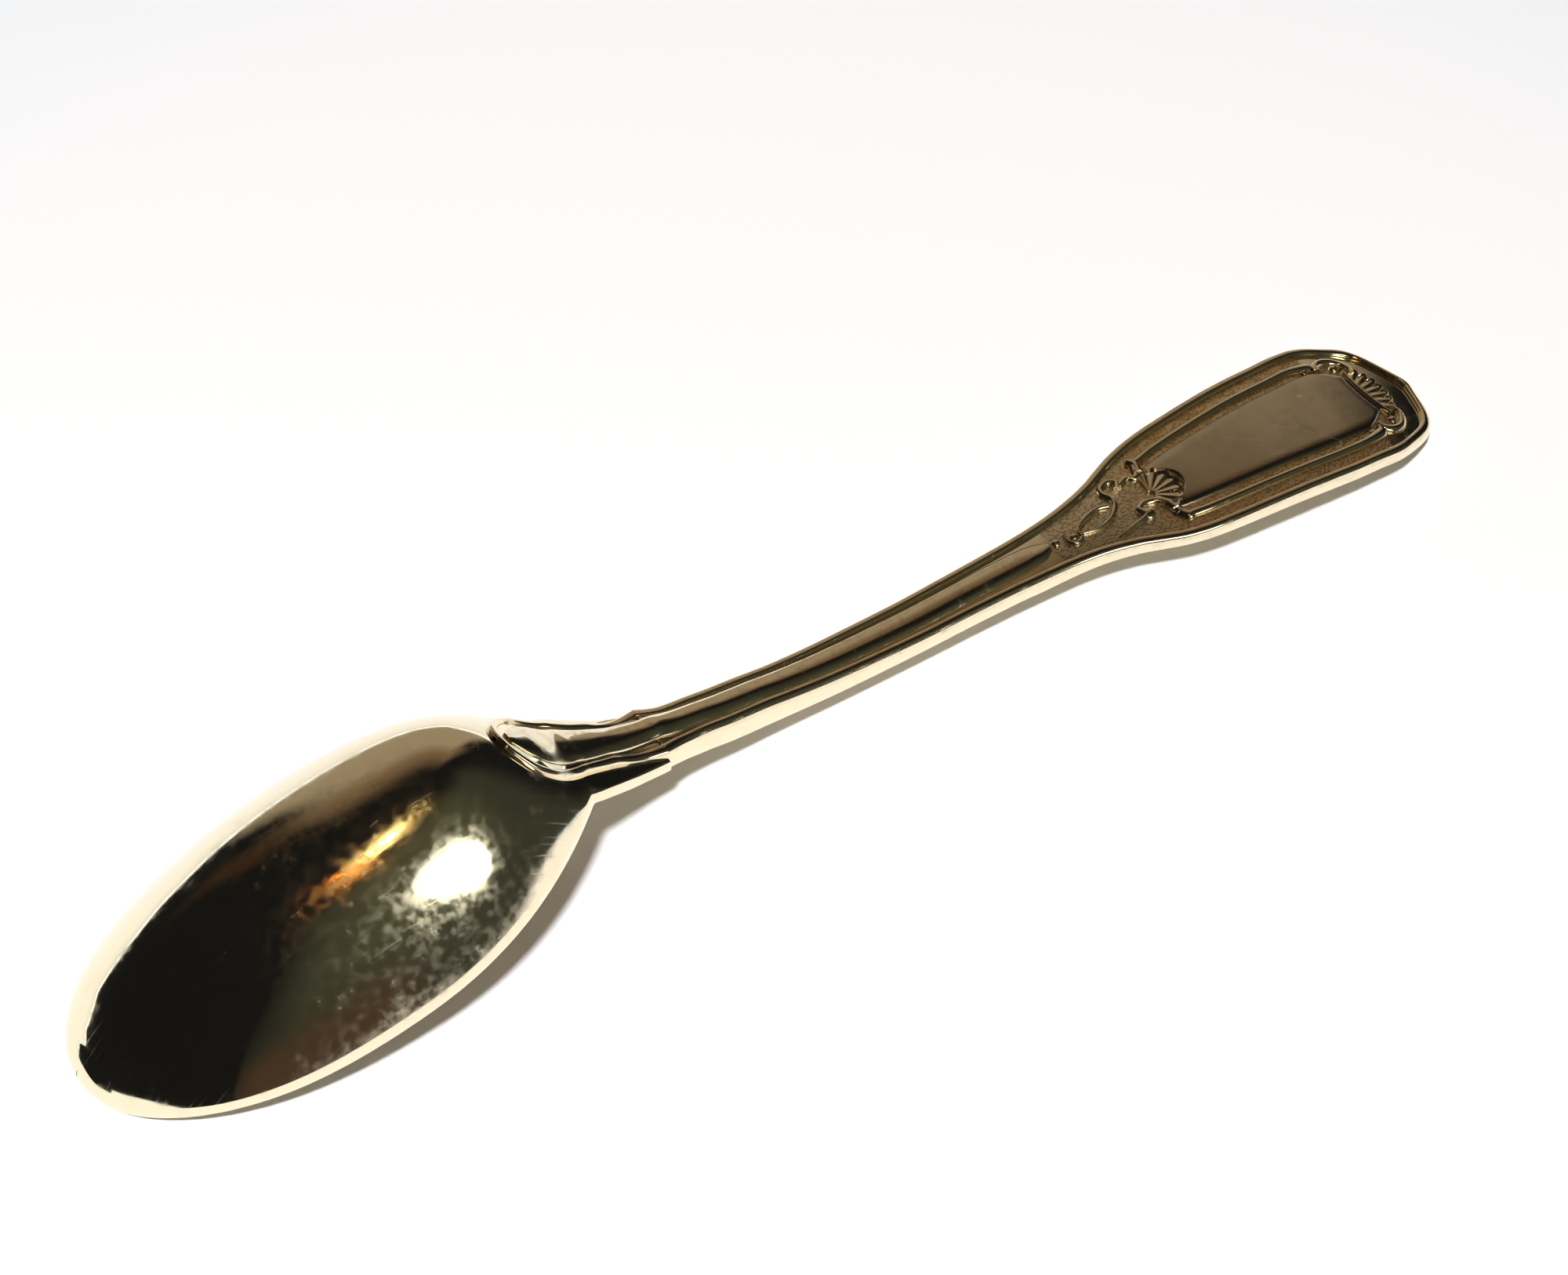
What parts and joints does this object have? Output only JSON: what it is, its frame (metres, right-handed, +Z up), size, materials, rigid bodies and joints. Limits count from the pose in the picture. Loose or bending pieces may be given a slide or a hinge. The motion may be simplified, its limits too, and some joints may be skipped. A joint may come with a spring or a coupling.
{
  "type": "teaspoon",
  "caption": "Gold-plated teaspoon struck in one piece, with an oval bowl, a threaded stem and a flared handle with shell ornament, for stirring and serving.",
  "frame": {"origin": "on the table under the middle of the spoon's length, in its plane of symmetry, with the spoon face down", "axes": "+X from the bowl's tip to the handle's end, +Z up through the back of the bowl, +Y across the bowl"},
  "size_m": [0.14, 0.0264, 0.0179],
  "materials": {
    "polished_gold": "gold plate, polished and finely scratched",
    "thread_gold": "gold plate, polished raised thread",
    "panel_gold": "gold plate, brushed and scratched panel",
    "stippled_gold": "gold plate, matt stippled ground with tarnish",
    "ornament_gold": "gold plate, struck ornament, bright on the tops and tarnished in the hollows"
  },
  "bodies": {
    "root": {"bowl": "polished_gold", "neck": "polished_gold", "heel_drop": "polished_gold", "heel_thread": "thread_gold", "stem": "polished_gold", "stem_ridge": "thread_gold", "stem_thread_left": "thread_gold", "stem_thread_right": "thread_gold", "blade": "stippled_gold", "border_left": "thread_gold", "border_right": "thread_gold", "inner_thread_left": "thread_gold", "inner_thread_right": "thread_gold", "panel": "panel_gold", "panel_lip": "thread_gold", "end_shell": "ornament_gold", "end_scroll_left": "ornament_gold", "end_scroll_right": "ornament_gold", "lower_shell": "ornament_gold", "lower_scroll_left": "ornament_gold", "lower_scroll_right": "ornament_gold", "berries": "ornament_gold"}
  },
  "joints": []
}
